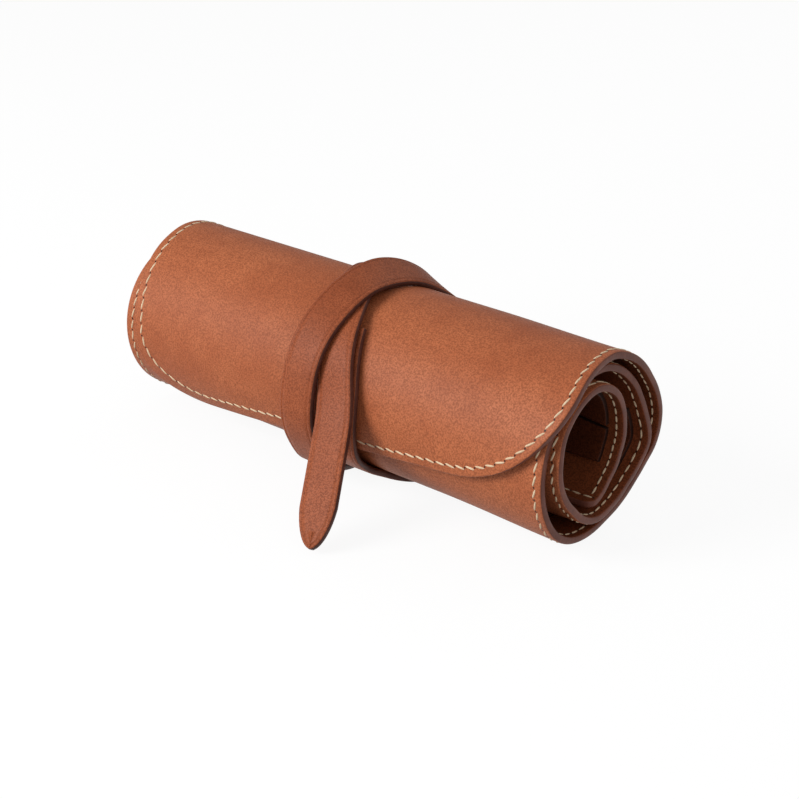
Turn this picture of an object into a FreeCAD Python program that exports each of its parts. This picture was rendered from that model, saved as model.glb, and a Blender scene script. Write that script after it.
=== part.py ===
import FreeCAD, Part
import math
import os

# A leather watch roll, rolled up. One long sheet, a cover and a lining sewn back to back, is wound nearly three
# times round the X axis, from its inner end at the bottom out to a flap at the front. A narrow strap is sewn to
# the flap, passes under the roll, over the top, under again, and tucks its tongue under its own first pass.
# The tongue's free end lifts off the roll, and its tip folds.
# Angles are in degrees in the YZ plane: 0 is the rear, 90 the top, 180 the front and 270 the bottom.
# The frame's origin is on the flat where the strap's second pass carries the roll.

SIZES = [
    # The sheet.
    ("roll_length", 220.0),
    ("core_radius", 21.5),
    ("turn_pitch", 6.0),
    ("turn_drift", 2.4),
    ("cover_thickness", 1.7),
    ("lining_thickness", 1.2),
    ("glue_line", 0.1),
    ("left_flap_corner", 30.0),
    ("right_flap_corner", 48.0),
    # The watch sleeves on the lining.
    ("sleeve_thickness", 1.2),
    ("sleeve_inset", 10.0),
    # The stitches along the flap's edge and the sides.
    ("seam_inset", 4.0),
    ("stitch_pitch", 5.0),
    ("stitch_length", 3.9),
    ("thread_width", 0.9),
    ("thread_height", 0.15),
    ("thread_gap", 0.05),
    # The strap.
    ("strap_width", 16.5),
    ("strap_thickness", 2.7),
    ("strap_clearance", 0.3),
    ("tongue_length", 26.0),
    ("tip_straight", 11.7),
    ("tip_point", 15.0),
    ("tip_fold_gap", 0.3),
    ("rest_flat", 0.5),
    # What every cutting tool stands out past the piece it cuts.
    ("overrun", 10.0),
]

doc = FreeCAD.newDocument("watch_roll")
sizes = doc.addObject("Spreadsheet::Sheet", "Sizes")
for row, (alias, value) in enumerate(SIZES, start=1):
    sizes.set(f"A{row}", alias)
    sizes.set(f"B{row}", str(value))
    sizes.setAlias(f"B{row}", alias)
doc.recompute()


class Length:
    """A sum of named sizes, each times a plain share: a number and an expression in one."""

    def __init__(self, **shares):
        self.shares = shares

    def __add__(self, other):
        names = list(self.shares) + [name for name in other.shares if name not in self.shares]
        return Length(**{name: self.shares.get(name, 0) + other.shares.get(name, 0) for name in names})

    def __mul__(self, factor):
        return Length(**{name: share * factor for name, share in self.shares.items()})

    def __sub__(self, other):
        return self + other * -1

    def value(self):
        return sum(share * sizes.get(name) for name, share in self.shares.items())

    def text(self):
        return " + ".join(f"({share:.9f}) * Sizes.{name}" for name, share in self.shares.items())


NOTHING = Length(overrun=0)
ROLL_LENGTH = Length(roll_length=1)
OVERRUN = Length(overrun=1)
COVER = Length(cover_thickness=1)
LINING = Length(lining_thickness=1)
GLUE = Length(glue_line=1)
LEFT_CORNER = Length(left_flap_corner=1)
RIGHT_CORNER = Length(right_flap_corner=1)
SLEEVE = Length(sleeve_thickness=1)
STRAP = Length(strap_thickness=1)
STRAP_WIDTH = Length(strap_width=1)
CLEARANCE = Length(strap_clearance=1)
SHEET = COVER + GLUE + LINING
LAYER = STRAP + CLEARANCE


def bind(thing, **lengths):
    """Tie properties of a document object to the sizes."""
    for name, length in lengths.items():
        thing.setExpression(name, length.text())


def seat(thing, x, y, z):
    """Tie an object's place to the sizes."""
    for axis, length in zip("xyz", (x, y, z)):
        thing.setExpression(f"Placement.Base.{axis}", length.text())


def outward(angle):
    """The unit vector that points out of the roll at an angle."""
    return FreeCAD.Vector(0, math.cos(math.radians(angle)), math.sin(math.radians(angle)))


# The sheet's path is arcs that meet end to end. Each arc is a little larger than the one before, and it
# grows less at the rear than at the front, so the turns lie close at the front and stand apart at the rear.
PLACES = ["under", "rear", "shoulder", "crown", "front", "toe"]
TURNS = ["core", "middle", "outer"]
FOLD_STEP_ANGLE = 360 / len(PLACES)
FIRST_FOLD_ANGLE = 300
INNER_END_ANGLE = 265
FLAP_END_ANGLE = 203
ROOT_PANEL = len(PLACES) * 2
FLAP_PANEL = ROOT_PANEL + PLACES.index("front")
# The strap's second pass lies left of the sheet's middle, and the origin is under it.
SHEET_MIDDLE_SHARE = 0.055
LEFT_EDGE = ROLL_LENGTH * (SHEET_MIDDLE_SHARE - 0.5)


def panel_path():
    """Each panel's name, start, end, inner radius and centre, the centres counted from the first panel's."""
    panels = []
    radius = Length(core_radius=1)
    centre_y = NOTHING
    centre_z = NOTHING
    start = INNER_END_ANGLE
    for number in range(FLAP_PANEL + 1):
        name = f"{TURNS[number // len(PLACES)]}_{PLACES[number % len(PLACES)]}"
        end = FIRST_FOLD_ANGLE + FOLD_STEP_ANGLE * number
        if number == FLAP_PANEL:
            name = "outer_flap"
            end = FLAP_END_ANGLE + 360 * len(TURNS)
        panels.append((name, start, end, radius, centre_y, centre_z))
        fold = outward(end)
        growth = Length(turn_pitch=1 / len(PLACES), turn_drift=-2 * fold.y / len(PLACES))
        radius = radius + growth
        centre_y = centre_y - growth * fold.y
        centre_z = centre_z - growth * fold.z
        start = end
    return panels


PATH = panel_path()
ROOT_RADIUS, ROOT_Y, ROOT_Z = PATH[ROOT_PANEL][3:]
# The roll stands on the strap, so its lowest panel is a strap's layer up, less the flat pressed into the strap.
STAND = ROOT_RADIUS + SHEET + LAYER - Length(rest_flat=1)


def panel_centre(number):
    """A panel's centre in the YZ plane."""
    centre_y, centre_z = PATH[number][4:]
    return centre_y - ROOT_Y, centre_z - ROOT_Z + STAND


def curved_slab(name, inner, thickness, length, sweep):
    """A sector of a ring, standing on its end at the origin."""
    ring = doc.addObject("Part::Cylinder", f"{name}_ring")
    bind(ring, Radius=inner + thickness, Height=length)
    ring.Angle = sweep
    bore = doc.addObject("Part::Cylinder", f"{name}_bore")
    bind(bore, Radius=inner, Height=length + OVERRUN * 2)
    seat(bore, NOTHING, NOTHING, OVERRUN * -1)
    slab = doc.addObject("Part::Cut", f"{name}_slab")
    slab.Base = ring
    slab.Tool = bore
    return slab


# A round corner is cut in many short straights, so that its edges on the curved leather are plain ellipses.
CORNER_FACETS = 48


def round_corners(slab, name, outer, sweep):
    """Round the two corners of the flap's free edge, each cut square to the leather at its own middle."""
    for side, radius in (("left", LEFT_CORNER), ("right", RIGHT_CORNER)):
        lean = math.degrees(math.asin(radius.value() / (2 * outer.value())))
        turn = FreeCAD.Rotation(FreeCAD.Vector(0, 0, 1), sweep - lean)
        inwards = turn.multVec(FreeCAD.Vector(0, 1, 0)) * (radius * -0.5).value()
        middle = radius if side == "left" else ROLL_LENGTH - radius
        base = NOTHING - OVERRUN if side == "left" else middle
        square = doc.addObject("Part::Box", f"{name}_{side}_square")
        bind(square, Length=outer + OVERRUN, Width=radius + OVERRUN, Height=radius + OVERRUN)
        square.Placement = FreeCAD.Placement(inwards + FreeCAD.Vector(0, 0, base.value()), turn)
        disc = doc.addObject("Part::Prism", f"{name}_{side}_disc")
        disc.Polygon = CORNER_FACETS
        bind(disc, Circumradius=radius, Height=outer + OVERRUN)
        lie = turn * FreeCAD.Rotation(FreeCAD.Vector(0, 1, 0), 90)
        disc.Placement = FreeCAD.Placement(inwards + FreeCAD.Vector(0, 0, middle.value()), lie)
        tool = doc.addObject("Part::Cut", f"{name}_{side}_tool")
        tool.Base = square
        tool.Tool = disc
        cut = doc.addObject("Part::Cut", f"{name}_{side}")
        cut.Base = slab
        cut.Tool = tool
        slab = cut
    return slab


parts = {}


def keep(name, thing):
    """Give a finished piece its own label, which names its file."""
    thing.Label = name
    parts[name] = thing


def lay_on_panel(thing, number, left, start):
    """Lay a standing slab along X, with its first end at an angle of one panel's arc."""
    lay_down = FreeCAD.Rotation(FreeCAD.Vector(1, 1, 1), 120)
    spin = FreeCAD.Rotation(FreeCAD.Vector(0, 0, 1), start)
    thing.Placement = FreeCAD.Placement(FreeCAD.Vector(), lay_down * spin)
    seat(thing, left, *panel_centre(number))


def make_ply(ply, inner_offset, thickness):
    """One of the sheet's two leathers, wound from the inner end to the flap."""
    panels = []
    for number, (name, start, end, radius) in enumerate(panel[:4] for panel in PATH):
        label = f"{name}_{ply}"
        slab = curved_slab(label, radius + inner_offset, thickness, ROLL_LENGTH, end - start)
        if number == FLAP_PANEL:
            slab = round_corners(slab, label, radius + SHEET, end - start)
        lay_on_panel(slab, number, LEFT_EDGE, start)
        panels.append(slab)
    sheet = doc.addObject("Part::MultiFuse", ply)
    sheet.Shapes = panels
    sheet.Refine = True
    keep(ply, sheet)


make_ply("lining", NOTHING, LINING)
make_ply("cover", LINING + GLUE, COVER)

# A sleeve is a leather strip glued across the lining, as long as one panel less a gap to the next sleeve.
SLEEVE_PANELS = ["core_rear", "core_shoulder", "core_crown", "middle_rear"]
SLEEVE_START_ANGLE = 20
SLEEVE_GAP_ANGLE = 12


def make_sleeve(number):
    """A watch sleeve on the lining, which starts part of the way along one panel."""
    name, start, end, radius = PATH[number][:4]
    inset = Length(sleeve_inset=1)
    sweep = end - start - SLEEVE_GAP_ANGLE
    slab = curved_slab(f"{name}_sleeve", radius - GLUE - SLEEVE, SLEEVE, ROLL_LENGTH - inset * 2, sweep)
    lay_on_panel(slab, number, LEFT_EDGE + inset, start + SLEEVE_START_ANGLE)
    keep(f"{name}_sleeve", slab)


for panel in range(len(PATH)):
    if PATH[panel][0] in SLEEVE_PANELS:
        make_sleeve(panel)

STITCH_LEAN_ANGLE = 12
SEAM_INSET = Length(seam_inset=1)
STITCH_PITCH = sizes.get("stitch_pitch")


def stitch(number, x, angle, lean):
    """One stitch on a panel's cover, along X when its lean is zero."""
    size = FreeCAD.Vector(sizes.get("stitch_length"), sizes.get("thread_width"), sizes.get("thread_height"))
    box = Part.makeBox(*size)
    box.translate(FreeCAD.Vector(size.x, size.y, 0) * -0.5)
    box.rotate(FreeCAD.Vector(), FreeCAD.Vector(0, 0, 1), lean)
    box.rotate(FreeCAD.Vector(), FreeCAD.Vector(1, 0, 0), angle - 90)
    centre_y, centre_z = panel_centre(number)
    reach = PATH[number][3] + SHEET + Length(thread_gap=1)
    box.translate(FreeCAD.Vector(x, centre_y.value(), centre_z.value()) + outward(angle) * reach.value())
    return box


def make_thread(name, stitches):
    """The stitches of one seam that show."""
    feature = doc.addObject("Part::Feature", name)
    feature.Shape = Part.makeCompound(stitches)
    keep(name, feature)


def flap_seam():
    """Stitches along the straight of the flap's free edge."""
    angle = FLAP_END_ANGLE - math.degrees(SEAM_INSET.value() / (PATH[FLAP_PANEL][3] + SHEET).value())
    run = (ROLL_LENGTH - LEFT_CORNER - RIGHT_CORNER).value()
    count = int(run // STITCH_PITCH)
    first = (LEFT_EDGE + LEFT_CORNER).value()
    places = [first + (step + 0.5) * run / count for step in range(count)]
    return [stitch(FLAP_PANEL, place, angle, STITCH_LEAN_ANGLE) for place in places]


def side_seam(x, corner, lean):
    """Stitches along one side of the outer turn, up to the flap's round corner."""
    stitches = []
    for number in range(ROOT_PANEL, FLAP_PANEL + 1):
        start, end, radius = PATH[number][1:4]
        outer = (radius + SHEET).value()
        if number == FLAP_PANEL:
            end = end - math.degrees(corner.value() / outer)
        count = int(math.radians(end - start) * outer // STITCH_PITCH)
        for step in range(count):
            angle = start + (step + 0.5) * (end - start) / count
            stitches.append(stitch(number, x.value(), angle, lean))
    return stitches


make_thread("flap_thread", flap_seam())
LEFT_SEAM = LEFT_EDGE + SEAM_INSET
RIGHT_SEAM = LEFT_EDGE + ROLL_LENGTH - SEAM_INSET
make_thread("left_side_thread", side_seam(LEFT_SEAM, LEFT_CORNER, 90 - STITCH_LEAN_ANGLE))
make_thread("right_side_thread", side_seam(RIGHT_SEAM, RIGHT_CORNER, 90 + STITCH_LEAN_ANGLE))

# The strap's way round the roll. Each row is an angle, the strap's lift off the sheet as a share of one strap
# layer, and its place along the roll as a share of the roll's length, counted from the sheet's middle.
# The crossover stands clear of the second pass and of the tongue, which run under it. Past the flap's edge, at
# the third row, the lift counts from the turn below the flap. The strap bends in arcs, each through three rows.
STRAP_SHARES = [
    (142, 0.00, 0.048), (172.5, 0.00, 0.080), (203, 0.00, 0.070),
    (221.5, 0.55, 0.066), (240, 0.15, 0.080),
    (270, 0.05, 0.110), (300, 0.05, 0.122),
    (330, 0.05, 0.116), (360, 0.05, 0.080),
    (390, 0.45, 0.052), (420, 1.20, 0.028),
    (450, 1.40, 0.013), (480, 1.80, 0.009),
    (510, 2.35, 0.000), (540, 2.15, -0.004),
    (570, 2.35, -0.014), (600, 1.05, -0.034),
    (630, 0.05, -0.050), (660, 0.10, -0.060),
    (690, 0.05, -0.064), (720, 0.05, -0.066),
    (750, 0.05, -0.067), (780, 0.05, -0.058),
    (810, 0.10, -0.031), (840, 0.55, 0.012),
    (866, 1.15, 0.048), (892, 1.15, 0.079),
]


def sheet_below(angle):
    """The outmost panel of the sheet at an angle."""
    past_root = (angle - PATH[ROOT_PANEL][1]) % 360
    past_flap = past_root - (PATH[FLAP_PANEL][2] - PATH[ROOT_PANEL][1])
    if past_flap > 0:
        return ROOT_PANEL - 1
    return min(FLAP_PANEL, ROOT_PANEL + int(past_root // FOLD_STEP_ANGLE))


def strap_place(angle, lift_share):
    """The point on the strap's inner face at an angle, in the YZ plane."""
    number = sheet_below(angle)
    centre_y, centre_z = panel_centre(number)
    reach = PATH[number][3] + SHEET + CLEARANCE + LAYER * lift_share
    return FreeCAD.Vector(0, centre_y.value(), centre_z.value()) + outward(angle) * reach.value()


def strap_x(along_share):
    """The X of the strap's middle line."""
    return (ROLL_LENGTH * (SHEET_MIDDLE_SHARE + along_share)).value()


STRAP_ROUTE = []
for angle, lift_share, along_share in STRAP_SHARES:
    STRAP_ROUTE.append(strap_place(angle, lift_share) + FreeCAD.Vector(strap_x(along_share), 0, 0))


def across(step):
    """Half of the strap's cut along X at one row of its route, where it is wider because the strap slants."""
    run = STRAP_ROUTE[min(step + 1, len(STRAP_ROUTE) - 1)] - STRAP_ROUTE[max(step - 1, 0)]
    return math.hypot(1, run.x / math.hypot(run.y, run.z)) * STRAP_WIDTH.value() / 2


def flat(place):
    """A place seen along X."""
    return FreeCAD.Vector(0, place.y, place.z)


def strap_band(steps):
    """An arc of strap leather that is far too wide."""
    inner = [flat(STRAP_ROUTE[step]) for step in steps]
    outer = [place + outward(STRAP_SHARES[step][0]) * STRAP.value() for place, step in zip(inner, steps)]
    edges = [
        Part.Arc(*inner).toShape(),
        Part.LineSegment(inner[2], outer[2]).toShape(),
        Part.Arc(*reversed(outer)).toShape(),
        Part.LineSegment(outer[0], inner[0]).toShape(),
    ]
    section = Part.Face(Part.Wire(edges))
    section.translate(FreeCAD.Vector(-ROLL_LENGTH.value(), 0, 0))
    return section.extrude(FreeCAD.Vector(ROLL_LENGTH.value() * 2, 0, 0))


def strap_strip(first, last):
    """A slab with the strap's two edges between two rows of its route, running on past both."""
    one, two = STRAP_ROUTE[first], STRAP_ROUTE[last]
    chord = flat(two - one)
    reach = OVERRUN.value() / chord.Length
    out = FreeCAD.Vector(0, chord.z, -chord.y).normalize() * ROLL_LENGTH.value()
    corners = []
    for share, side in ((-reach, -1), (1 + reach, -1), (1 + reach, 1), (-reach, 1), (-reach, -1)):
        middle = one.x + (two.x - one.x) * share
        half = across(first) + (across(last) - across(first)) * share
        corners.append(flat(one) + chord * share + FreeCAD.Vector(middle + half * side, 0, 0) - out)
    return Part.Face(Part.makePolygon(corners)).extrude(out * 2)


def make_strap():
    """The strap from its anchor on the flap to the tongue's bend, pressed flat where the roll rests on it."""
    arcs = []
    for step in range(0, len(STRAP_ROUTE) - 1, 2):
        arcs.append(strap_band(range(step, step + 3)).common(strap_strip(step, step + 2)))
    floor = Part.makeBox(ROLL_LENGTH.value() * 2, ROLL_LENGTH.value() * 2, OVERRUN.value())
    floor.translate(FreeCAD.Vector(-ROLL_LENGTH.value(), -ROLL_LENGTH.value(), -OVERRUN.value()))
    feature = doc.addObject("Part::Feature", "strap")
    feature.Shape = arcs[0].fuse(arcs[1:]).cut(floor).Solids[0]
    keep("strap", feature)


make_strap()

# The tongue's free end is straight. It leans out from the roll to the surface in front, and slants along X.
TONGUE_ANGLE = 231
TONGUE_SLANT_SHARE = 0.33
TONGUE_DOWN = outward(TONGUE_ANGLE)
TONGUE_OUT = outward(TONGUE_ANGLE - 90)


def tongue_start():
    """The outer corner of the tongue bend's end, which the straight tongue turns out from."""
    angle, lift_share, along_share = STRAP_SHARES[-1]
    place = strap_place(angle, lift_share) + outward(angle) * STRAP.value()
    place.x = strap_x(along_share)
    return place


def tongue_place(down, side_share):
    """A point of the tongue's outer face: how far down it, and how far aside as a share of half its width."""
    slope = math.hypot(1, TONGUE_SLANT_SHARE)
    aside = side_share * slope * STRAP_WIDTH.value() / 2 + down * TONGUE_SLANT_SHARE
    return tongue_start() + TONGUE_DOWN * down + FreeCAD.Vector(aside, 0, 0)


def make_tongue_piece(name, edges):
    """A flat piece of the tongue, from its outer face's outline."""
    face = Part.Face(Part.Wire(edges))
    feature = doc.addObject("Part::Feature", name)
    feature.Shape = face.extrude(TONGUE_OUT * -STRAP.value())
    keep(name, feature)


def straight(*points):
    """Straight edges from point to point."""
    return [Part.LineSegment(one, two).toShape() for one, two in zip(points, points[1:])]


TIP_GAP = Length(tip_fold_gap=1)
TIP_FOLD = TIP_GAP + Length(tongue_length=1)
SHOULDER = TIP_FOLD + Length(tip_straight=1)
POINT = SHOULDER + Length(tip_point=1)
TIP_BULGE_SHARE = 0.78


def make_tongue():
    """The tongue below its bend, and its pointed tip, which folds at the tongue's outer face."""
    top = TIP_GAP.value()
    fold = (TIP_FOLD - TIP_GAP * 0.5).value()
    corners = [tongue_place(top, -1), tongue_place(top, 1), tongue_place(fold, 1), tongue_place(fold, -1)]
    make_tongue_piece("strap_tongue", straight(*corners, corners[0]))
    fold = (TIP_FOLD + TIP_GAP * 0.5).value()
    halfway = (SHOULDER + POINT).value() / 2
    left, right = [tongue_place(SHOULDER.value(), side) for side in (-1, 1)]
    left_bulge, right_bulge = [tongue_place(halfway, side * TIP_BULGE_SHARE) for side in (-1, 1)]
    point = tongue_place(POINT.value(), 0)
    edges = straight(left, tongue_place(fold, -1), tongue_place(fold, 1), right)
    edges.append(Part.Arc(right, right_bulge, point).toShape())
    edges.append(Part.Arc(point, left_bulge, left).toShape())
    make_tongue_piece("strap_tip", edges)


make_tongue()
doc.recompute()

for thing in doc.Objects:
    if "Invalid" in thing.State or "Error" in thing.State:
        raise RuntimeError(f"{thing.Name} failed: {thing.State}")
for name, thing in parts.items():
    if thing.Shape.isNull() or not thing.Shape.isValid() or not thing.Shape.Solids:
        raise RuntimeError(f"{name} is not a valid solid")

os.makedirs("parts", exist_ok=True)
for name, thing in parts.items():
    thing.Shape.exportStep(f"parts/{name}.step")
print(f"{len(parts)} pieces written")
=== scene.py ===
# %% [markdown]
# # A leather watch roll, rolled up and tied
# The roll is one long sheet of two leathers, wound nearly three times and tied with its own strap.
# The CAD frame gives the true places. Here each soft piece is built again as a fine mesh on the same winding,
# so that edges can be rounded, seams can be sewn and the ends can sag as leather does.

import math

import bpy
import numpy as np
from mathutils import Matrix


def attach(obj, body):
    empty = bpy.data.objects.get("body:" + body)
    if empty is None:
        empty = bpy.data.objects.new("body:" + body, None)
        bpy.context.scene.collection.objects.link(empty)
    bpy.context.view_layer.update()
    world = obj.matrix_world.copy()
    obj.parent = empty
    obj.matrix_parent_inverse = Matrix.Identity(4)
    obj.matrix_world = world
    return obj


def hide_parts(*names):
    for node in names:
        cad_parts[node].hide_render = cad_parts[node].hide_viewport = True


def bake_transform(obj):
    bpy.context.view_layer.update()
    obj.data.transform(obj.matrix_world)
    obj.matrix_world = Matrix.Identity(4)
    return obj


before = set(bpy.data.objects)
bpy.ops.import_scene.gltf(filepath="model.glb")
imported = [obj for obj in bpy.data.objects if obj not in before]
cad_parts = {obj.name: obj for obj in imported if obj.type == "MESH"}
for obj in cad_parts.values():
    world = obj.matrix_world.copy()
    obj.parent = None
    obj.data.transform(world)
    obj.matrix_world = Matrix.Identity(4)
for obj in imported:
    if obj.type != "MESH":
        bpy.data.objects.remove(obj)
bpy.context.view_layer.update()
MM = 0.001

# %% [markdown]
# ## The winding
# The sheet is wound in short arcs that meet end to end, each a little larger than the one before. A true spiral
# would also do, but arcs are what the frame uses, so the leather here lies exactly where its solid does.
# Angles are in degrees about the roll: 0 is the rear, 90 the top, 180 the front and 270 the bottom.

# %% Wind the sheet
CORE_RADIUS = 21.5
TURN_PITCH = 6.0
TURN_DRIFT = 2.4
SHEET = 3.0
STRAP = 2.7
CLEARANCE = 0.3
LAYER = STRAP + CLEARANCE
REST_FLAT = 0.5
INNER_END, FLAP_END = 265, 1283
LEFT, RIGHT = -97.9, 122.1
LAST, ROOT = 16, 12
ARCS_PER_TURN = 6
ARC_SWEEP = 360 // ARCS_PER_TURN
FIRST_ARC = 240
RUN_PAST, WAY_POINTS = 40, 4200


def wind():
    rows = []
    radius, centre = CORE_RADIUS, np.zeros(2)
    for number in range(LAST + 1):
        rows.append([radius, *centre])
        end = math.radians(FIRST_ARC + ARC_SWEEP * (number + 1))
        growth = (TURN_PITCH - 2 * TURN_DRIFT * math.cos(end)) / ARCS_PER_TURN
        radius += growth
        centre = centre - growth * np.array([math.cos(end), math.sin(end)])
    arcs = np.array(rows)
    arcs[:, 1:] += np.array([0, arcs[ROOT, 0] + SHEET + LAYER - REST_FLAT]) - arcs[ROOT, 1:]
    return arcs


ARCS = wind()
AXIS_HEIGHT = ARCS[ROOT, 2]


def on_arc(number, angle, reach):
    turn = np.radians(angle)
    y = ARCS[number, 1] + np.cos(turn) * (ARCS[number, 0] + reach)
    z = ARCS[number, 2] + np.sin(turn) * (ARCS[number, 0] + reach)
    return y, z


def on_sheet(angle, depth):
    past = np.asarray(angle, float) - FIRST_ARC
    number = np.clip(np.floor(past / ARC_SWEEP).astype(int), 0, LAST)
    return on_arc(number, angle, depth)


ANGLES = np.linspace(INNER_END, FLAP_END + RUN_PAST, WAY_POINTS)
WAY_Y, WAY_Z = on_sheet(ANGLES, SHEET)
LENGTHS = np.concatenate([[0], np.cumsum(np.hypot(np.diff(WAY_Y), np.diff(WAY_Z)))])
SHEET_LENGTH = np.interp(FLAP_END, ANGLES, LENGTHS)
print(f"sheet {SHEET_LENGTH:.0f} mm long, axis {AXIS_HEIGHT:.1f} mm up")

# %% [markdown]
# ## How the roll sags and turns askew
# A real roll is not a perfect coil. Its last half turn was rolled a little askew, so the flap slants; the turns slide
# along each other; and at the open right end the leather relaxes: the core into a narrow oval, the middle turn into
# a kink at the rear. The slack is a list of shares of the radius along the winding, and it fades out before the strap.
# The leather keeps its thickness, because its faces are laid off square to its own middle.

# %% Let the roll sag
SLACK_SHARES = np.array([
    (265, 0.93), (280, 0.90), (301, 0.72), (340, 0.62), (383, 0.70), (404, 0.82), (424, 0.97), (440, 1.065),
    (454, 1.12), (468, 1.118), (487, 1.10), (504, 1.073), (522, 0.994), (543, 0.94), (562, 0.886), (585, 0.844),
    (609, 0.896), (629, 0.94), (647, 0.925), (674, 0.955), (694, 1.08), (703, 1.17), (708, 1.19),
    (714, 1.14), (728, 1.03), (745, 0.98),
    (770, 0.99), (787, 1.03), (801, 1.065), (814, 1.075), (835, 1.07), (860, 1.05), (900, 1.045), (945, 1.05),
    (961, 1.02), (979, 0.95), (999, 0.87), (1019, 0.86), (1036, 0.865), (1053, 0.93), (1061, 1.01), (1072, 1.042),
    (1083, 1.044), (1097, 0.997), (1115, 0.95), (1134, 0.962), (1151, 0.987), (1165, 1.024), (1185, 1.04),
    (1210, 1.055), (1240, 1.055), (1323, 1.05),
])
SLACK_START, SLACK_SPREAD = 62.0, 4
SHEET_MIDDLE = 12.1
SKEW, SKEW_RUN = 0.13, 180.0
SLIDE_FROM, SLIDE_EASE = np.interp(1175, ANGLES, LENGTHS), 20
WANDER, WANDER_PHASE = 1.5, 0.7
LEFT_SLIDES = np.array([
    (265, 0), (700, 0), (780, -2.0), (920, -2.2), (980, -2.5), (1100, -4.0), (1150, -5.0), (1170, -3.6),
    (1188, -1.6), (1220, 0.2), (1245, 1.2), (1323, 1.0),
])
LEFT_FROM, LEFT_RUN = -30, 70
PROBE = 0.5


def smooth(share):
    share = np.clip(share, 0, 1)
    return share * share * (3 - 2 * share)


def wander(along):
    turns = (np.interp(along, LENGTHS, ANGLES) - INNER_END) / 360
    return WANDER * np.cos(np.pi * (turns - WANDER_PHASE))


def even_out(values, spread):
    kernel = np.exp(-0.5 * (np.arange(-3 * spread, 3 * spread + 1) / spread) ** 2)
    padded = np.pad(values, 3 * spread, mode="reflect", reflect_type="odd")
    return np.convolve(padded, kernel / kernel.sum(), mode="valid")


SLACK_ANGLES = np.arange(INNER_END, FLAP_END + RUN_PAST + 1, 1.0)
SLACK = even_out(np.interp(SLACK_ANGLES, *SLACK_SHARES.T), SLACK_SPREAD) - 1


def middle_of_sheet(along, x):
    angle = np.interp(along, LENGTHS, ANGLES)
    y, z = on_sheet(angle, SHEET / 2)
    pull = 1 + np.interp(angle, SLACK_ANGLES, SLACK) * smooth((x - SLACK_START) / (RIGHT - SLACK_START))
    return y * pull, AXIS_HEIGHT + (z - AXIS_HEIGHT) * pull


def place(along, x, depth):
    late = np.maximum(along - SLIDE_FROM, 0)
    turned = along - SKEW * smooth((along - SHEET_LENGTH) / SKEW_RUN + 1) * (x - SHEET_MIDDLE)
    angle = np.interp(turned, LENGTHS, ANGLES)
    left = np.interp(angle, *LEFT_SLIDES.T) * smooth((LEFT_FROM - x) / LEFT_RUN)
    x = x + SKEW * late ** 2 / (late + SLIDE_EASE) + wander(turned) + left
    y, z = middle_of_sheet(turned, x)
    ahead, behind = middle_of_sheet(turned + PROBE, x), middle_of_sheet(turned - PROBE, x)
    run_y, run_z = ahead[0] - behind[0], ahead[1] - behind[1]
    out = (depth - SHEET / 2) / np.hypot(run_y, run_z)
    return np.stack([x + 0 * y, y + run_z * out, z - run_y * out], -1)


print("right end at the top:", np.round(place(np.array([SHEET_LENGTH - 70]), np.array([RIGHT]), SHEET), 1))

# %% [markdown]
# ## Leather panels from an outline
# A panel is cut flat, so it is drawn flat: how far along the winding and how far along the roll. The same outline
# drawn a little smaller is where the face ends and the rounded edge begins, so a stack of outlines, each with its
# own depth, gives a face with a burnished edge. The first two steps of the rounding stay bare leather and the rest
# take the edge paint. The flap's corners are quarter ellipses, large on the right.

# %% Draw outlines and build panels
FLAP_CORNERS = {"left": (36.0, 26.0), "right": (54.0, 40.0)}
INNER_CORNER, SHARPEST_CORNER = 4.0, 0.2
SHEET_ROWS, CORNER_POINTS, MIDDLE_POINTS = 440, 17, 40
CALM = 0.8
RISE_FROM, RISE_RUN = 40, 50
LEFT_ROUNDING, RIGHT_SPILL = 2, 0.4
BARE_STEPS = 2


def sheet_outline(inset, rise=0.0):
    quarter = np.radians(np.linspace(0, 90, CORNER_POINTS))
    left_x, left_s = (size - inset + LEFT_ROUNDING * rise for size in FLAP_CORNERS["left"])
    right_x, right_s = (size - inset for size in FLAP_CORNERS["right"])
    left = LEFT + inset + left_x * (1 - np.cos(quarter))
    right = (RIGHT - inset + RIGHT_SPILL * rise - right_x * (1 - np.cos(quarter)))[::-1]
    middle = np.linspace(left[-1], right[0], MIDDLE_POINTS)[1:-1]
    x = np.concatenate([left, middle, right])
    fall = 1 - np.sin(quarter)
    drop = np.concatenate([left_s * fall, 0 * middle, (right_s * fall)[::-1]])
    reach = np.minimum(x - LEFT - inset, RIGHT - inset - x)
    corner = max(INNER_CORNER - inset, SHARPEST_CORNER)
    short = np.maximum(corner - reach, 0)
    start = inset + corner - np.sqrt(np.maximum(corner ** 2 - short ** 2, 0))
    end = SHEET_LENGTH - inset - drop - rise * smooth((RISE_FROM - x) / RISE_RUN)
    share = np.linspace(0, 1, SHEET_ROWS)[:, None]
    head = start + (CALM * SHEET_LENGTH - start) * share / CALM
    tail = CALM * SHEET_LENGTH + (end - CALM * SHEET_LENGTH) * (share - CALM) / (1 - CALM)
    return np.where(share < CALM, head, tail), np.broadcast_to(x, (SHEET_ROWS, len(x)))


def rim(rows, columns):
    index = np.arange(rows * columns).reshape(rows, columns)
    return np.concatenate([index[0, :-1], index[:-1, -1], index[-1, :0:-1], index[:0:-1, 0]])


def mesh_piece(name, points, faces, finishes, marks):
    mesh = bpy.data.meshes.new(name)
    mesh.from_pydata((np.asarray(points) * MM).tolist(), [], faces)
    for finish in finishes:
        mesh.materials.append(finish)
    mesh.polygons.foreach_set("material_index", np.asarray(marks, np.int32))
    mesh.polygons.foreach_set("use_smooth", np.ones(len(mesh.polygons), bool))
    mesh.update()
    piece = bpy.data.objects.new(name, mesh)
    bpy.context.scene.collection.objects.link(piece)
    return piece


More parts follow.
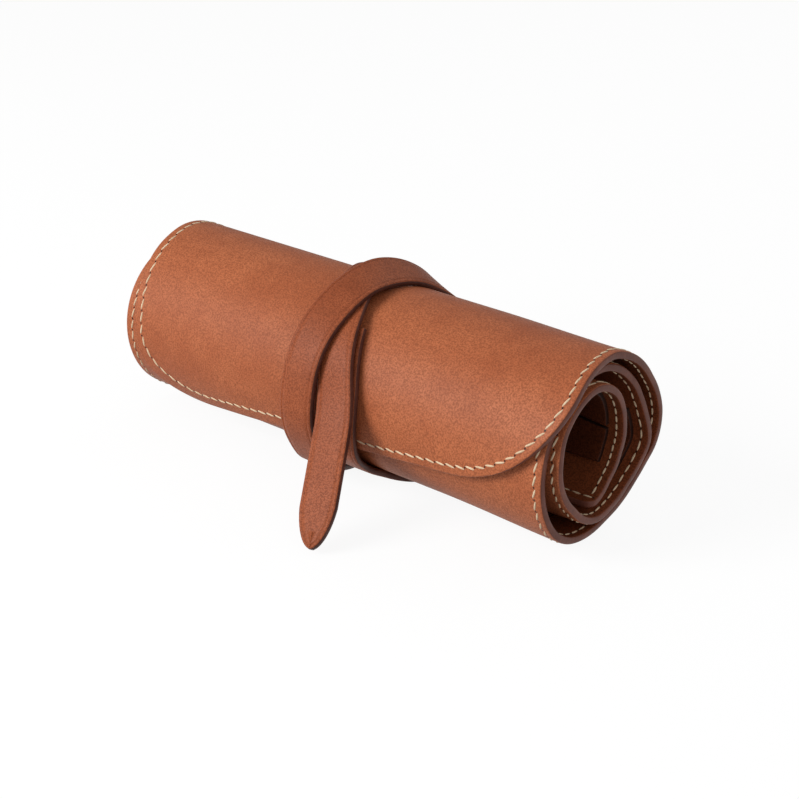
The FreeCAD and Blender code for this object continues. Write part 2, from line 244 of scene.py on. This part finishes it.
def panel(name, outline, profile, inward, finishes):
    along, x = outline(profile[0][0])
    rows, columns = along.shape
    points = [place(along.ravel(), x.ravel(), profile[0][1])]
    index = np.arange(rows * columns).reshape(rows, columns)
    faces = np.stack([index[:-1, :-1], index[:-1, 1:], index[1:, 1:], index[1:, :-1]], -1).reshape(-1, 4)
    marks = [np.zeros(len(faces), int)]
    faces = [faces]
    edge = rim(rows, columns)
    loop = edge
    count = rows * columns
    for step, (inset, depth) in enumerate(profile[1:]):
        along, x = outline(inset)
        points.append(place(along.ravel()[edge], x.ravel()[edge], depth))
        following = count + np.arange(len(edge))
        count += len(edge)
        faces.append(np.stack([loop, following, np.roll(following, -1), np.roll(loop, -1)], -1))
        marks.append(np.full(len(edge), int(step >= BARE_STEPS)))
        loop = following
    faces = np.concatenate(faces)
    if inward:
        faces = faces[:, ::-1]
    piece = mesh_piece(name, np.concatenate(points), faces.tolist(), finishes, np.concatenate(marks))
    print(f"{name}: {len(piece.data.vertices)} points")
    return piece


print("outline:", sheet_outline(0.0)[0].shape, "rows and columns")

# %% [markdown]
# ## Shader sums
# Finishes are written as sums on node sockets. A small class holds a socket and turns Python's operators into Math
# nodes; every other node is made by one method that sets the node up before it fills its sockets.

# %% A class for finishes
class Value:
    def __init__(self, finish, socket):
        self.finish = finish
        self.socket = socket

    def sum(self, operation, first, second):
        return self.finish.node("ShaderNodeMath", {"operation": operation}, {0: first, 1: second})

    def __add__(self, other):
        return self.sum("ADD", self, other)

    __radd__ = __add__

    def __sub__(self, other):
        return self.sum("SUBTRACT", self, other)

    def __rsub__(self, other):
        return self.sum("SUBTRACT", other, self)

    def __mul__(self, other):
        return self.sum("MULTIPLY", self, other)

    __rmul__ = __mul__


class Finish:
    def __init__(self, owner):
        owner.use_nodes = True
        self.owner = owner
        self.tree = owner.node_tree

    def fill(self, node, sockets):
        for key, value in sockets.items():
            if isinstance(value, Value):
                self.tree.links.new(value.socket, node.inputs[key])
            else:
                node.inputs[key].default_value = value

    def node(self, kind, settings, sockets, output=0):
        node = self.tree.nodes.new(kind)
        for key, value in settings.items():
            setattr(node, key, value)
        self.fill(node, sockets)
        return Value(self, node.outputs[output])

    def noise(self, scale, detail=3.0, roughness=0.5, distortion=0.0):
        where = self.node("ShaderNodeTexCoord", {}, {}, "Object")
        return self.node("ShaderNodeTexNoise", {}, {
            "Vector": where, "Scale": scale, "Detail": detail, "Roughness": roughness, "Distortion": distortion,
        })

    def mix(self, factor, first, second):
        return self.node("ShaderNodeMix", {"data_type": "RGBA"}, {0: factor, 6: first, 7: second}, 2)

    def ramp(self, factor, low, high):
        return self.node("ShaderNodeMapRange", {"interpolation_type": "SMOOTHSTEP"},
                         {"Value": factor, "From Min": low, "From Max": high})

    def bump(self, height, strength, distance):
        return self.node("ShaderNodeBump", {}, {"Height": height, "Strength": strength, "Distance": distance})

    def show(self, **sockets):
        named = {key.replace("_", " "): value for key, value in sockets.items()}
        self.fill(self.tree.nodes["Principled BSDF"], named)
        return self.owner

    def cover(self, output, factor, first, second):
        mixed = self.node("ShaderNodeMixShader", {}, {0: factor, 1: first, 2: second})
        self.fill(self.tree.nodes[output], {"Surface": mixed})


print("a finish can:", [name for name in vars(Finish) if not name.startswith("_")])

# %% [markdown]
# ## Leather, edge paint and thread
# Vegetable-tanned leather is never one colour: it has broad clouds where the dye took more, a fine pebble of
# grain and tiny pores. A photograph of leather could be wrapped round it, but noises in the object's own space have no
# seams and can be made at any size. They give the colour, and with small cells the bump. The cut edges are painted
# dark and rubbed, so they are smoother than the face and vary along their length. Some colours here are painted
# shade and not the leather's own: the near-black sleeves and sleeve edges stand for the shade in the hollow, the dark
# needle-hole discs for the shade in the holes, and the thread's twist bands for the shade in its grooves.

# %% Mix the finishes
def colour(red, green, blue):
    return (red, green, blue, 1.0)


def leather(name, pale, deep, shine, gloss):
    finish = Finish(bpy.data.materials.new(name))
    clouds = finish.noise(16.0, 4.0, 0.55, 0.4)
    mottle = finish.noise(120.0, 4.0, 0.6)
    pebble = finish.noise(1500.0, 2.0, 0.6)
    where = finish.node("ShaderNodeTexCoord", {}, {}, "Object")
    cells = finish.node("ShaderNodeTexVoronoi", {}, {"Vector": where, "Scale": 1300.0})
    pores = finish.ramp(finish.noise(2600.0, 2.0, 0.5), 0.66, 0.78)
    tone = finish.ramp(clouds * 0.62 + mottle * 0.38, 0.32, 0.68)
    skin = finish.mix(tone, deep, pale)
    skin = finish.mix(finish.ramp(pebble, 0.38, 0.64) * 0.74, skin, colour(*(0.60 * part for part in deep[:3])))
    skin = finish.mix(pores * 0.45, skin, colour(*(0.35 * part for part in deep[:3])))
    height = pebble * 0.55 + cells * 0.45 - pores * 0.5 + mottle * 0.8
    return finish.show(
        Base_Color=skin,
        Roughness=shine + (pebble - 0.5) * 0.22 + (clouds - 0.5) * 0.16,
        Normal=finish.bump(height, 0.26, 0.0004),
        Specular_IOR_Level=gloss,
    )


def edge_paint(name, base, worn):
    finish = Finish(bpy.data.materials.new(name))
    long_marks = finish.noise(90.0, 4.0, 0.65)
    fine = finish.noise(900.0, 3.0, 0.6)
    tone = finish.ramp(long_marks * 0.7 + fine * 0.3, 0.38, 0.72)
    return finish.show(
        Base_Color=finish.mix(tone, base, worn),
        Roughness=0.46 + (fine - 0.5) * 0.25,
        Normal=finish.bump(fine + long_marks * 0.6, 0.18, 0.0004),
        Specular_IOR_Level=0.20,
    )


def waxed_thread(name, pale, soil_and_groove_shade):
    finish = Finish(bpy.data.materials.new(name))
    where = finish.node("ShaderNodeTexCoord", {}, {}, "Object")
    twist = finish.node("ShaderNodeTexWave", {"wave_type": "BANDS", "bands_direction": "DIAGONAL"}, {
        "Vector": where, "Scale": 900.0, "Distortion": 1.5, "Detail": 1.0,
    }, 1)
    soil = finish.noise(260.0, 3.0, 0.6)
    # The soil noise darkens the thread as real dirt; the twist bands add painted shade in the grooves between the
    # plies.
    return finish.show(
        Base_Color=finish.mix(finish.ramp(soil, 0.4, 0.75) * 0.55 + twist * 0.2, pale, soil_and_groove_shade),
        Roughness=0.62 + (twist - 0.5) * 0.2,
        Normal=finish.bump(twist, 0.35, 0.0003),
    )


COVER_LEATHER = leather("cover_leather", colour(0.505, 0.153, 0.061), colour(0.385, 0.101, 0.037), 0.54, 0.22)
STRAP_LEATHER = leather("strap_leather", colour(0.390, 0.106, 0.042), colour(0.285, 0.070, 0.026), 0.50, 0.16)
LINING_LEATHER = leather("lining_leather", colour(0.240, 0.060, 0.020), colour(0.150, 0.036, 0.012), 0.60, 0.12)
# The sleeves are coloured near black-brown as painted shade: the hollow of the core is dark from shade, and the sleeves
# that line it carry that darkness.
SLEEVE_LEATHER_PAINTED_SHADE = leather("sleeve_leather_painted_shade", colour(0.105, 0.025, 0.009), colour(0.060, 0.014, 0.005), 0.62, 0.10)
SHEET_EDGE = edge_paint("sheet_edge_paint", colour(0.142, 0.047, 0.031), colour(0.240, 0.086, 0.057))
# The sleeve edges are near black: painted shadow in the gaps between the sleeves, far darker than the painted edges of
# the sheet and strap.
SLEEVE_EDGE_PAINTED_SHADOW = edge_paint("sleeve_edge_painted_shadow", colour(0.016, 0.006, 0.004), colour(0.040, 0.014, 0.009))
STRAP_EDGE = edge_paint("strap_edge_paint", colour(0.070, 0.024, 0.017), colour(0.140, 0.052, 0.035))
THREAD = waxed_thread("waxed_thread", colour(0.80, 0.62, 0.42), colour(0.55, 0.36, 0.20))
# The needle holes are flat near-black discs: painted shade of the holes.
NEEDLE_HOLE_PAINTED_SHADE = edge_paint("needle_hole_painted_shade", colour(0.022, 0.008, 0.005), colour(0.060, 0.020, 0.011))
print("finishes:", len(bpy.data.materials))

# %% [markdown]
# ## The sheet
# The cover is the outer leather and the lining the inner one, glued back to back and burnished together, so each
# is a face with its half of one rounded, painted edge. The two halves meet inside the edge, where nothing shows.

# %% Cover and lining
COVER_PROFILE = [(0.85, 3.0), (0.48, 2.95), (0.2, 2.78), (0.05, 2.52), (0.0, 2.2), (-0.06, 1.7), (-0.07, 1.25)]
LINING_PROFILE = [(0.7, 0.0), (0.36, 0.05), (0.12, 0.2), (0.0, 0.45), (-0.05, 0.85), (-0.07, 1.25)]
cover = panel("cover_sheet", sheet_outline, COVER_PROFILE, False, [COVER_LEATHER, SHEET_EDGE])
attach(cover, "roll")
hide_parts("cover")
lining = panel("lining_sheet", sheet_outline, LINING_PROFILE, True, [LINING_LEATHER, SHEET_EDGE])
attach(lining, "roll")
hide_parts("lining")

# %% [markdown]
# ## Watch sleeves
# Each watch slides under a strip of leather on the lining. Three of these strips show in the hollow of the roll
# with dark gaps between them, and their side edges stand back from the end. The strips are coloured near
# black-brown, painted shade of the deep hollow, and their rounded edges near black, painted shadow that makes the
# gaps read dark. A strip is a panel as the sheet is, on the same winding, so it bends with the lining below it.

# %% Sleeves
SLEEVES = {"core_rear_sleeve": 300, "core_shoulder_sleeve": 360, "core_crown_sleeve": 420, "middle_rear_sleeve": 660}
SLEEVE_INSET, SLEEVE_SPAN = 6.5, np.array([17, 71])
SLEEVE_ROWS, SLEEVE_COLUMNS = 34, 60
SLEEVE_PROFILE = [(0.6, -1.9), (0.26, -1.85), (0.07, -1.68), (0.0, -1.4), (0.0, -0.02)]
for name, start in SLEEVES.items():
    near, far = np.interp(start + SLEEVE_SPAN, ANGLES, LENGTHS)

    def strip(inset):
        along = np.linspace(near + inset, far - inset, SLEEVE_ROWS)
        x = np.linspace(LEFT + SLEEVE_INSET + inset, RIGHT - SLEEVE_INSET - inset, SLEEVE_COLUMNS)
        return np.meshgrid(along, x, indexing="ij")

    sleeve = panel(f"{name}_strip", strip, SLEEVE_PROFILE, True, [SLEEVE_LEATHER_PAINTED_SHADE, SLEEVE_EDGE_PAINTED_SHADOW])
    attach(sleeve, "roll")
    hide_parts(name)

# %% [markdown]
# ## Saddle stitches
# The seam is one thread that goes in and out of the leather. Outside it shows as plump stitches that lean a little,
# with a needle hole between one and the next, drawn as a flat near-black disc that is painted shade of the hole;
# inside they lie straight. A bump map could hint at them, but each stitch here is a small crowned ridge, so it shows
# from the side too. The ridges are laid on the outline drawn four millimetres smaller, so the seam follows the flap's
# corners by itself.

# %% Mark the stitches
SEAM_INSET, SEAM_RISE, STITCH_PITCH = 4.0, 2.4, 5.0
RUN_PROBE = 0.8


def seam_places(along, x):
    step = np.hypot(np.diff(along), np.diff(x))
    length = np.concatenate([[0], np.cumsum(step)])
    count = int(round(length[-1] / STITCH_PITCH))
    at = (np.arange(count) + 0.5) * length[-1] / count

    def spots(where):
        return np.stack([np.interp(where, length, along), np.interp(where, length, x)], -1)

    run = spots(at + RUN_PROBE) - spots(at - RUN_PROBE)
    return spots(at), run / np.linalg.norm(run, axis=1, keepdims=True)


seam_s, seam_x = sheet_outline(SEAM_INSET, rise=SEAM_RISE)
seam_loop = rim(*seam_s.shape)
seam_loop = np.concatenate([seam_loop, seam_loop[:1]])
MIDDLES, RUNS = seam_places(seam_s.ravel()[seam_loop], seam_x.ravel()[seam_loop])
print("stitches in a seam:", len(MIDDLES))

# %% [markdown]
# ## One stitch after another
# A stitch swells in its middle and tapers where the thread dives into the leather. Hand work is never even, so its lean
# and its length vary a little from one stitch to the next, from a fixed seed, so that each run gives the same seam.

# %% Sew the seams
STITCH_HALF_WIDTH, STITCH_CROWN, STITCH_SINK = 0.43, 0.42, 0.08
STITCH_STEPS, STITCH_SIDES = 9, 7
END_TAPER, END_ROUNDNESS = 0.93, 2.6
LEAN_SPREAD, LENGTH_SPREAD = 2.5, 0.03
HOLE_RADIUS, HOLE_RISE, HOLE_CORNER = 0.42, 0.03, 45


def sew(name, depth, out, length, lean):
    points, faces, marks, count = [], [], [], 0
    rng = np.random.default_rng(7)
    along_steps = np.linspace(-1, 1, STITCH_STEPS)
    around = np.radians(np.linspace(0, 180, STITCH_SIDES))
    ridge_u, ridge_t = np.meshgrid(along_steps, around, indexing="ij")
    swell = np.sqrt(1 - END_TAPER * np.abs(ridge_u) ** END_ROUNDNESS)
    spokes = np.radians(np.arange(0, 360, HOLE_CORNER))
    for middle, run in zip(MIDDLES, RUNS):
        hole = middle + run * STITCH_PITCH / 2
        turn = math.radians(lean + rng.normal(0, LEAN_SPREAD))
        run = np.array([run[0] * math.cos(turn) - run[1] * math.sin(turn),
                        run[0] * math.sin(turn) + run[1] * math.cos(turn)])
        side = np.array([-run[1], run[0]])
        half = length / 2 * (1 + rng.normal(0, LENGTH_SPREAD))
        flat = (middle + ridge_u[..., None] * half * run
                + (np.cos(ridge_t) * swell * STITCH_HALF_WIDTH)[..., None] * side)
        lift = (np.sin(ridge_t) * swell * STITCH_CROWN - STITCH_SINK) * out
        points.append(place(flat[..., 0].ravel(), flat[..., 1].ravel(), (depth + lift).ravel()))
        index = count + np.arange(ridge_u.size).reshape(ridge_u.shape)
        quads = np.stack([index[:-1, :-1], index[1:, :-1], index[1:, 1:], index[:-1, 1:]], -1).reshape(-1, 4)
        faces += (quads if out > 0 else quads[:, ::-1]).tolist()
        marks += [0] * len(quads)
        count += ridge_u.size
        # Each hole is a flat dark disc just over the face: painted shade of the hole.
        ring = hole + HOLE_RADIUS * (np.cos(spokes)[:, None] * run + np.sin(spokes)[:, None] * side)
        points.append(place(ring[:, 0], ring[:, 1], depth + HOLE_RISE * out))
        disc = list(range(count, count + len(spokes)))
        faces.append(disc if out < 0 else disc[::-1])
        marks.append(1)
        count += len(spokes)
    piece = mesh_piece(name, np.concatenate(points), faces, [THREAD, NEEDLE_HOLE_PAINTED_SHADE], marks)
    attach(piece, "roll")
    print(f"{name}: {len(piece.data.vertices)} points")
    return piece


outer_seam = sew("outer_seam", depth=SHEET, out=1, length=4.2, lean=-14)
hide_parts("flap_thread", "left_side_thread", "right_side_thread")
sew("inner_seam", depth=0.0, out=-1, length=4.0, lean=0)

# %% [markdown]
# ## The strap's places
# The strap is one flat strip of thick leather. Its way round the roll is a list of places: the angle, the height
# over the sheet counted in strap layers, and the place along the roll as a share of its length. A second list tilts
# the strip where it climbs over itself. A curve that never overshoots its places joins them, because a plain spline
# would dip into the leather below.

# %% List the strap's places
ROLL_LENGTH = 220.0
STRAP_ROWS = np.array([
    (133, 0.00, 0.0385), (172.5, 0.00, 0.072), (203, 0.00, 0.061), (221.5, 0.45, 0.051), (240, -0.05, 0.058),
    (270, 0.00, 0.096), (300, 0.05, 0.116), (330, 0.05, 0.116), (360, 0.05, 0.080), (390, 0.40, 0.052),
    (420, 0.74, 0.028), (450, 1.05, 0.013), (480, 1.80, 0.009), (510, 2.35, 0.000), (540, 2.15, -0.004),
    (570, 2.35, -0.014), (600, 1.05, -0.034), (630, 0.05, -0.050), (660, 0.10, -0.060), (690, 0.05, -0.064),
    (720, 0.05, -0.066), (750, 0.05, -0.067), (780, 0.05, -0.058), (810, 0.10, -0.031), (840, 0.55, 0.012),
    (866, 1.15, 0.048), (892, 1.15, 0.079),
])
TILT_ROWS = np.array([
    (133, 0), (365, 0), (395, -13), (420, -23), (445, -23), (470, -12), (500, -4), (520, 0), (892, 0),
])
BRIDGES = (203, 540)


def gentle_curve(known, values, wanted):
    step = np.diff(known)
    slope = np.diff(values) / step
    tangent = np.zeros(len(known))
    same = slope[:-1] * slope[1:] > 0
    first, second = 2 * step[1:] + step[:-1], step[1:] + 2 * step[:-1]
    with np.errstate(divide="ignore", invalid="ignore"):
        mean = (first + second) / (first / slope[:-1] + second / slope[1:])
    tangent[1:-1] = np.where(same, mean, 0)
    tangent[0], tangent[-1] = slope[0], slope[-1]
    number = np.clip(np.searchsorted(known, wanted) - 1, 0, len(step) - 1)
    share = (wanted - known[number]) / step[number]
    rise = 3 * share ** 2 - 2 * share ** 3
    bend = step[number] * ((share ** 3 - 2 * share ** 2 + share) * tangent[number]
                           + (share ** 3 - share ** 2) * tangent[number + 1])
    return values[number] * (1 - rise) + values[number + 1] * rise + bend


print("strap places:", len(STRAP_ROWS))

# %% [markdown]
# ## The strap's route
# The places are turned into points over the sheet below, and those into one even line. At the two bridges the strap
# leaves the sheet and spans a step in a straight run, so no points are added between. The tongue hangs straight down
# from the end, and the bend above it is evened out so that no crease shows.

# %% Lay the strap's route
TONGUE_ANGLE, TONGUE_SLANT = 231, 0.33
TIP_FOLD, SHOULDER, POINT = 26.3, 38.0, 53.0
KNOTS_PER_ROW, ROUTE_POINTS, TONGUE_STEP = 4, 640, 0.8
EVEN_POINTS, TIP_POINTS, TIP_RUN = 880, 48, 16.0
ROUTE_REACH, ROUTE_SPREAD = 9, 4.0
BEND_RUN, BEND_SPREAD = 14, 10


def turn_below(angle):
    past = (angle - FIRST_ARC) % 360
    if past > (FLAP_END - FIRST_ARC) % 360:
        return ROOT - 1
    return min(LAST, ROOT + int(past // ARC_SWEEP))


def strap_route():
    knots = []
    for one, two in zip(STRAP_ROWS[:, 0], STRAP_ROWS[1:, 0]):
        knots += [one] if one in BRIDGES else list(np.linspace(one, two, KNOTS_PER_ROW + 1)[:-1])
    knots = np.array(knots + [STRAP_ROWS[-1, 0]])
    lift = gentle_curve(STRAP_ROWS[:, 0], STRAP_ROWS[:, 1], knots)
    shift = gentle_curve(STRAP_ROWS[:, 0], STRAP_ROWS[:, 2], knots)
    reach = SHEET + CLEARANCE + LAYER * lift
    spots = np.array([on_arc(turn_below(a), a, r) for a, r in zip(knots, reach)])
    turn = np.degrees(np.unwrap(np.arctan2(spots[:, 1] - AXIS_HEIGHT, spots[:, 0])))
    radius = np.hypot(spots[:, 0], spots[:, 1] - AXIS_HEIGHT)
    fine = np.linspace(turn[0], turn[-1], ROUTE_POINTS)
    far = gentle_curve(turn, radius, fine)
    x = SHEET_MIDDLE + ROLL_LENGTH * gentle_curve(turn, shift, fine)
    swing = np.radians(fine)
    return fine, np.stack([x, far * np.cos(swing), AXIS_HEIGHT + far * np.sin(swing)], -1)


turn, inner = strap_route()
tangent = np.gradient(inner, axis=0)
normal = np.stack([0 * tangent[:, 0], tangent[:, 2], -tangent[:, 1]], -1)
normal /= np.linalg.norm(normal, axis=1, keepdims=True)
outer = inner + normal * STRAP
down = np.arange(TONGUE_STEP, POINT + 0.01, TONGUE_STEP)
lean = math.radians(TONGUE_ANGLE)
hinge = outer[-1]
straight = hinge + down[:, None] * np.array([TONGUE_SLANT, math.cos(lean), math.sin(lean)])
route = np.concatenate([outer, straight])
length = np.concatenate([[0], np.cumsum(np.linalg.norm(np.diff(route, axis=0), axis=1))])
HINGE_AT = length[len(outer) - 1]
tip_start = length[-1] - TIP_RUN
even = np.concatenate([np.linspace(0, tip_start, EVEN_POINTS)[:-1],
                       tip_start + TIP_RUN * np.sin(np.linspace(0, math.pi / 2, TIP_POINTS))])
tilt = np.radians(gentle_curve(*TILT_ROWS.T, np.interp(even, length[:len(turn)], turn)))
route = np.stack([np.interp(even, length, route[:, axis]) for axis in range(3)], -1)
kernel = np.exp(-0.5 * (np.arange(-ROUTE_REACH, ROUTE_REACH + 1) / ROUTE_SPREAD) ** 2)
kernel /= kernel.sum()
padded = np.concatenate([2 * route[0] - route[ROUTE_REACH:0:-1], route,
                         2 * route[-1] - route[-2:-ROUTE_REACH - 2:-1]])
route = np.stack([np.convolve(padded[:, axis], kernel, mode="valid") for axis in range(3)], -1)
bend = np.exp(-((even - HINGE_AT) / BEND_RUN) ** 2)[:, None]
calm_route = np.stack([even_out(route[:, axis], BEND_SPREAD) for axis in range(3)], -1)
route = route + bend * (calm_route - route)
print(f"strap {length[-1]:.0f} mm long, hinge {np.round(hinge, 1)}")

# %% [markdown]
# ## The strap's section
# One cross-section is carried along the route: a slightly crowned face with a creased line near each edge, round
# painted edges and a flat back. Blender's curve bevel could do this, but it would twist at the crossover and couldn't
# narrow to the tip's point, so the rings are placed one by one.

# %% Sweep the strap
HALF_WIDTH = 8.25
SECTION = [
    (-1, 9.0, 0.07), (-1, 6.0, 0.06), (-1, 3.4, 0.03), (-1, 2.05, 0.0), (-1, 1.85, -0.17), (-1, 1.62, -0.17),
    (-1, 1.42, 0.0), (-1, 0.95, -0.04), (-1, 0.5, -0.16), (-1, 0.18, -0.42), (-1, 0.0, -0.85), (-1, -0.07, -1.4),
    (-1, 0.0, -1.95), (-1, 0.15, -2.35), (-1, 0.45, -2.62), (-1, 0.95, -2.7), (-1, 3.5, -2.7), (-1, 7.0, -2.7),
]
SECTION = SECTION + [(1, inset, height) for side, inset, height in reversed(SECTION[1:])]
EDGE_HEIGHTS = (-2.64, -0.3)
ROUND_SHARE, TIP_FULLNESS, TIP_CURVE = 0.75, 0.98, 2.2


def half_width(at):
    below = (at - HINGE_AT) / (length[-1] - HINGE_AT) * POINT
    share = np.clip(below - SHOULDER, 0, None) / (POINT - SHOULDER)
    rounded = np.sqrt(np.maximum(1 - TIP_FULLNESS * share ** TIP_CURVE, 0))
    return HALF_WIDTH * (ROUND_SHARE * rounded + (1 - ROUND_SHARE) * (1 - share))


def strap_rings():
    way = np.gradient(route, axis=0)
    way /= np.linalg.norm(way, axis=1, keepdims=True)
    out = np.stack([0 * way[:, 0], way[:, 2], -way[:, 1]], -1)
    out /= np.linalg.norm(out, axis=1, keepdims=True)
    across = np.cross(out, way)
    lean, rise = np.cos(tilt)[:, None], np.sin(tilt)[:, None]
    across, out = across * lean + out * rise, out * lean - across * rise
    half = half_width(even)
    side, inset, height = np.array(SECTION).T
    reach = side * np.maximum(half[:, None] - inset, 0) * np.where(inset >= HALF_WIDTH, 0, 1)
    rings = route[:, None] + across[:, None] * reach[..., None] + out[:, None] * height[:, None]
    rings[..., 2] = np.maximum(rings[..., 2], 0.0)
    return rings


RINGS = strap_rings()
print("strap rings:", RINGS.shape)

# %% [markdown]
# ## Strap, tongue and tip
# On the real roll the tongue lifts and its tip folds, so the strip is parted into three pieces away from the bends.


def strap_piece(name, first, last, capped):
    rings = RINGS[first:last + 1]
    count, around = rings.shape[:2]
    index = np.arange(count * around).reshape(count, around)
    following = np.roll(index, -1, axis=1)
    faces = np.stack([index[:-1], following[:-1], following[1:], index[1:]], -1).reshape(-1, 4)
    height = np.array(SECTION)[:, 2]
    middle = (height + np.roll(height, -1)) / 2
    edged = (middle > EDGE_HEIGHTS[0]) & (middle < EDGE_HEIGHTS[1])
    marks = np.broadcast_to(edged.astype(int), (count - 1, around)).ravel().tolist()
    faces = faces.tolist()
    for end in capped:
        loop = index[0][::-1] if end == "start" else index[-1]
        faces.append(loop.tolist())
        marks.append(1)
    piece = mesh_piece(name, rings.reshape(-1, 3), faces, [STRAP_LEATHER, STRAP_EDGE], marks)
    print(f"{name}: {len(piece.data.vertices)} points")
    return piece


def station(at):
    return int(np.argmin(np.abs(even - at)))


PARTING, TONGUE_PARTING = HINGE_AT - 13, HINGE_AT + 15
strap = strap_piece("strap_wound", 0, station(PARTING), ["start"])
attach(strap, "roll")
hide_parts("strap")
tongue = strap_piece("strap_tongue_bend", station(PARTING), station(TONGUE_PARTING), [])
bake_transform(tongue)
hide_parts("strap_tongue")
tip = strap_piece("strap_tongue_end", station(TONGUE_PARTING), len(even) - 1, ["end"])
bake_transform(tip)
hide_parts("strap_tip")

# %% [markdown]
# ## Floor and backdrop
# The photograph is a product picture on white. White light on everything would wash the leather out, so the floor is a
# mid grey that catches the shadow, and it and the world are only seen as white by the camera.

# %% Set the stage
scene = bpy.context.scene
scene.view_settings.view_transform = "Standard"
bpy.ops.mesh.primitive_plane_add(size=8.0, location=(0, 0, -0.0002))
floor = bpy.context.object
floor.name = "floor"
WHITE = colour(1.0, 1.0, 1.0)
ground = Finish(bpy.data.materials.new("floor_paper"))
camera_ray = ground.node("ShaderNodeLightPath", {}, {}, "Is Camera Ray")
glossy_ray = ground.node("ShaderNodeLightPath", {}, {}, "Is Glossy Ray")
paper = ground.node("ShaderNodeBsdfDiffuse", {}, {"Color": colour(0.42, 0.42, 0.42)})
glow = ground.node("ShaderNodeEmission", {}, {"Color": WHITE, "Strength": 1.2})
ground.cover("Material Output", (camera_ray + glossy_ray) * 0.76, paper, glow)
floor.data.materials.append(ground.owner)

world = bpy.data.worlds.new("studio")
scene.world = world
sky = Finish(world)
seen = sky.node("ShaderNodeLightPath", {}, {}, "Is Camera Ray")
quiet = sky.node("ShaderNodeBackground", {}, {"Color": WHITE, "Strength": 0.36})
backdrop = sky.node("ShaderNodeBackground", {}, {"Color": WHITE, "Strength": 1.0})
sky.cover("World Output", seen, quiet, backdrop)
print("stage:", floor.name, world.name)

# %% [markdown]
# ## Light
# Soft light comes from the front left: one large lamp makes the key, a weaker one fills the open end, and a third
# draws a rim along the top.

# %% Hang the lamps
MIDDLE = (0.0121, 0.0, 0.039)


def lamp(name, where, aim, size, power):
    data = bpy.data.lights.new(name, "AREA")
    data.shape = "DISK"
    data.size = size
    data.energy = power
    light = bpy.data.objects.new(name, data)
    scene.collection.objects.link(light)
    light.location = where
    way = np.array(aim) - np.array(where)
    level = math.atan2(way[2], math.hypot(way[0], way[1]))
    light.rotation_euler = (math.pi / 2 + level, 0, math.atan2(way[1], way[0]) - math.pi / 2)
    print(f"{name}: {power} W")


lamp("key", (-0.50, -1.05, 0.66), MIDDLE, 0.7, 15.5)
lamp("fill", (0.95, -0.55, 0.55), MIDDLE, 0.8, 1.8)
lamp("rim", (0.1, 0.9, 0.9), MIDDLE, 0.8, 2.2)

# %% [markdown]
# ## Camera
# The camera's angle and distance come from the places of the seam and the strap in the photograph. A long lens from
# well back keeps the near end from looming.

# %% Place the camera
AZIMUTH, ELEVATION, DISTANCE = math.radians(41.42), math.radians(23.5), 0.695
forward = np.array([
    -math.sin(AZIMUTH) * math.cos(ELEVATION), math.cos(AZIMUTH) * math.cos(ELEVATION), -math.sin(ELEVATION),
])
view = bpy.data.cameras.new("view")
view.sensor_width = 36.0
view.lens = 77.45
view.shift_x = 0.0252
view.shift_y = -0.0362
camera = bpy.data.objects.new("view", view)
scene.collection.objects.link(camera)
camera.location = np.array(MIDDLE) - forward * DISTANCE
camera.rotation_euler = (math.pi / 2 - ELEVATION, 0, AZIMUTH)
scene.camera = camera
print("camera at", np.round(camera.location, 3))

# %% [markdown]
